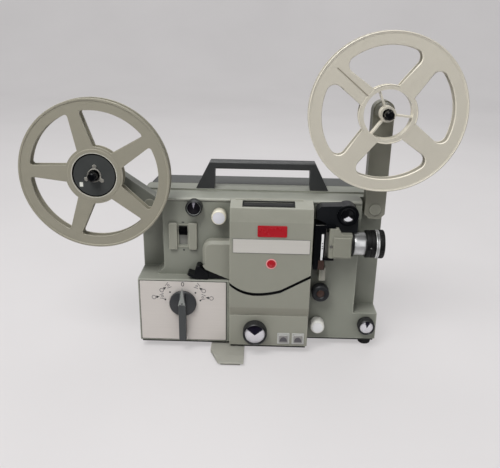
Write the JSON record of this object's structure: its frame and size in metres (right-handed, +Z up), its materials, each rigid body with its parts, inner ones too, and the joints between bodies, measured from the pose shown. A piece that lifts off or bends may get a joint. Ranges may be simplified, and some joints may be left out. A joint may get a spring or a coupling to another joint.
{
  "type": "movie projector",
  "caption": "Tabletop sound film projector with folding reel arms, turning reels, swing-out lens and lift-off lamp cover.",
  "frame": {"origin": "on the table plane, at the centre of the front left rubber foot (operator's left)", "axes": "+X to the operator's right and along the lens axis, +Y away from the operator, +Z up; the reels and knobs face -Y"},
  "size_m": [0.5135, 0.168, 0.3967],
  "materials": {
    "housing_paint": "satin",
    "rear_shell": "matte",
    "base_dark": "matte",
    "foot_rubber": "matte",
    "handle_black": "satin",
    "steel": "satin",
    "panel_white": "satin",
    "cover_paint": "satin",
    "black_plastic": "matte",
    "belt_rubber": "matte",
    "pale_plastic": "satin",
    "motor_iron": "matte",
    "mirror_face": "polished",
    "lamp_glass": "polished",
    "copper_brown": "matte",
    "board_brown": "matte",
    "lens_chrome": "polished",
    "lens_black": "satin",
    "lens_glass": "polished",
    "black_gloss": "gloss",
    "brass": "satin",
    "lever_grey": "satin",
    "white_plastic": "gloss",
    "arm_paint": "satin",
    "reel_cream": "satin",
    "reel_khaki": "satin",
    "core_grey": "satin"
  },
  "bodies": {
    "housing": {"main_housing": "housing_paint", "rear_cover": "rear_shell", "base_plate": "base_dark", "rubber_feet": "foot_rubber", "carry_handle": "handle_black", "case_screws": "steel", "control_panel": "panel_white", "chassis_plate": "steel", "sound_cover": "cover_paint", "lower_cover": "cover_paint", "exit_cover": "cover_paint", "exit_guide": "black_plastic", "feed_guide": "black_plastic", "sprocket_belt": "belt_rubber", "gate_block": "black_plastic", "film_chute": "pale_plastic", "switch_guard": "cover_paint", "arm_pins": "steel", "motor_stator": "motor_iron", "drive_belt": "belt_rubber", "sound_head": "steel", "lamp_reflector": "mirror_face", "lamp_bulb": "lamp_glass", "fold_mirror": "mirror_face", "transformer": "copper_brown", "amplifier_board": "board_brown", "loudspeaker": "black_plastic", "socket_panel": "black_plastic"},
    "lamp_hood": {"lamp_cover": "cover_paint"},
    "lens_carrier": {"lens_holder": "cover_paint", "pressure_plate": "steel", "lens_barrel": "lens_chrome"},
    "zoom": {"zoom_ring": "lens_black"},
    "focus": {"focus_ring": "lens_black"},
    "focus_cell": {"focus_tube": "lens_black", "front_lens": "lens_glass"},
    "feed": {"feed_sprocket": "black_gloss"},
    "lower": {"lower_sprocket": "black_plastic"},
    "claw": {"film_claw": "steel"},
    "main": {"main_shaft": "steel"},
    "shutter": {"light_shutter": "steel"},
    "motor": {"motor_rotor": "motor_iron"},
    "flywheel": {"sound_flywheel": "brass"},
    "function": {"function_knob": "lever_grey"},
    "volume": {"volume_knob": "black_gloss"},
    "tone": {"tone_knob": "black_gloss"},
    "sync": {"sync_knob": "black_gloss"},
    "framing": {"framing_knob": "white_plastic"},
    "speed": {"speed_knob": "white_plastic"},
    "slider": {"slide_switch": "black_plastic"},
    "key_left": {"left_key": "pale_plastic"},
    "key_right": {"right_key": "pale_plastic"},
    "arm_front": {"front_arm": "arm_paint"},
    "spindle_front": {"front_spindle": "black_plastic"},
    "reel_front": {"front_reel": "reel_cream"},
    "arm_rear": {"rear_arm": "arm_paint"},
    "spindle_rear": {"rear_spindle": "lens_chrome"},
    "reel_rear": {"rear_reel": "reel_khaki", "rear_reel_core": "core_grey"},
    "support": {"support_foot": "housing_paint"}
  },
  "joints": [
    {"name": "front_arm_fold", "type": "hinge", "parent": "housing", "child": "arm_front", "pos_m": [0.2805, -0.003, 0.1895], "axis": [0, 1, 0], "range_deg": [0, 115]},
    {"name": "front_spindle_turn", "type": "hinge", "parent": "arm_front", "child": "spindle_front", "pos_m": [0.2805, -0.009, 0.3077], "axis": [0, 1, 0], "continuous": true},
    {"name": "front_reel_off", "type": "slide", "parent": "spindle_front", "child": "reel_front", "axis": [0, -1, 0], "range_m": [0, 0.03]},
    {"name": "rear_arm_fold", "type": "hinge", "parent": "housing", "child": "arm_rear", "pos_m": [0.0045, -0.003, 0.1895], "axis": [0, 1, 0], "range_deg": [-45, 0]},
    {"name": "rear_spindle_turn", "type": "hinge", "parent": "arm_rear", "child": "spindle_rear", "pos_m": [-0.055, -0.009, 0.23039], "axis": [0, 1, 0], "continuous": true},
    {"name": "rear_reel_off", "type": "slide", "parent": "spindle_rear", "child": "reel_rear", "axis": [0, -1, 0], "range_m": [0, 0.03]},
    {"name": "lamp_cover_off", "type": "slide", "parent": "housing", "child": "lamp_hood", "axis": [0, -1, 0], "range_m": [0, 0.04]},
    {"name": "lens_swing", "type": "hinge", "parent": "housing", "child": "lens_carrier", "pos_m": [0.2269, -0.0375, 0.151], "axis": [0, 0, -1], "range_deg": [0, 90]},
    {"name": "zoom_turn", "type": "hinge", "parent": "lens_carrier", "child": "zoom", "pos_m": [0.2729, -0.028, 0.151], "axis": [1, 0, 0], "range_deg": [-40, 40]},
    {"name": "focus_turn", "type": "hinge", "parent": "lens_carrier", "child": "focus", "pos_m": [0.2849, -0.028, 0.151], "axis": [1, 0, 0], "range_deg": [0, 100]},
    {"name": "focus_slide", "type": "slide", "parent": "lens_carrier", "child": "focus_cell", "axis": [1, 0, 0], "range_m": [0, 0.0024]},
    {"name": "motor_turn", "type": "hinge", "parent": "housing", "child": "motor", "pos_m": [0.203, 0.056, 0.052], "axis": [0, 1, 0], "continuous": true},
    {"name": "main_shaft_turn", "type": "hinge", "parent": "housing", "child": "main", "pos_m": [0.213, 0.016, 0.1348], "axis": [0, 1, 0], "continuous": true},
    {"name": "shutter_turn", "type": "hinge", "parent": "housing", "child": "shutter", "pos_m": [0.213, -0.0048, 0.151], "axis": [1, 0, 0], "continuous": true},
    {"name": "feed_sprocket_turn", "type": "hinge", "parent": "housing", "child": "feed", "pos_m": [0.2449, -0.024, 0.1883], "axis": [0, 1, 0], "continuous": true},
    {"name": "lower_sprocket_turn", "type": "hinge", "parent": "housing", "child": "lower", "pos_m": [0.2186, -0.024, 0.0825], "axis": [0, 1, 0], "continuous": true},
    {"name": "flywheel_turn", "type": "hinge", "parent": "housing", "child": "flywheel", "pos_m": [0.159, -0.004, 0.07], "axis": [0, 1, 0], "continuous": true},
    {"name": "claw_stroke", "type": "slide", "parent": "housing", "child": "claw", "axis": [0, 0, 1], "range_m": [-0.0021, 0.0021]},
    {"name": "function_turn", "type": "hinge", "parent": "housing", "child": "function", "pos_m": [0.0455, -0.034, 0.067], "axis": [0, 1, 0], "range_deg": [-80, 80]},
    {"name": "volume_turn", "type": "hinge", "parent": "housing", "child": "volume", "pos_m": [0.1371, -0.044, 0.033], "axis": [0, 1, 0], "range_deg": [-150, 150]},
    {"name": "tone_turn", "type": "hinge", "parent": "housing", "child": "tone", "pos_m": [0.0598, -0.02, 0.1895], "axis": [0, 1, 0], "range_deg": [-150, 150]},
    {"name": "sync_turn", "type": "hinge", "parent": "housing", "child": "sync", "pos_m": [0.2812, -0.02, 0.0335], "axis": [0, 1, 0], "range_deg": [-150, 150]},
    {"name": "framing_turn", "type": "hinge", "parent": "housing", "child": "framing", "pos_m": [0.0905, -0.02, 0.1795], "axis": [0, 1, 0], "range_deg": [-60, 60]},
    {"name": "speed_turn", "type": "hinge", "parent": "housing", "child": "speed", "pos_m": [0.2176, -0.02, 0.034], "axis": [0, 1, 0], "range_deg": [-90, 90]},
    {"name": "slider_move", "type": "slide", "parent": "housing", "child": "slider", "axis": [0, 0, -1], "range_m": [0, 0.014]},
    {"name": "left_key_press", "type": "slide", "parent": "housing", "child": "key_left", "axis": [0, 1, 0], "range_m": [0, 0.0025], "stiffness_N_per_m": 300},
    {"name": "right_key_press", "type": "slide", "parent": "housing", "child": "key_right", "axis": [0, 1, 0], "range_m": [0, 0.0025], "stiffness_N_per_m": 300},
    {"name": "support_swing", "type": "hinge", "parent": "housing", "child": "support", "pos_m": [0.1025, 0, 0.012], "axis": [0, 0, 1], "range_deg": [0, 90]}
  ],
  "couplings": [
    {"joint": "main_shaft_turn", "follows": "motor_turn", "ratio": 0.375},
    {"joint": "shutter_turn", "follows": "motor_turn", "ratio": -0.375},
    {"joint": "feed_sprocket_turn", "follows": "motor_turn", "ratio": 0.375},
    {"joint": "lower_sprocket_turn", "follows": "motor_turn", "ratio": 0.375},
    {"joint": "focus_turn", "follows": "focus_slide", "rad_per_m": 727.2}
  ]
}
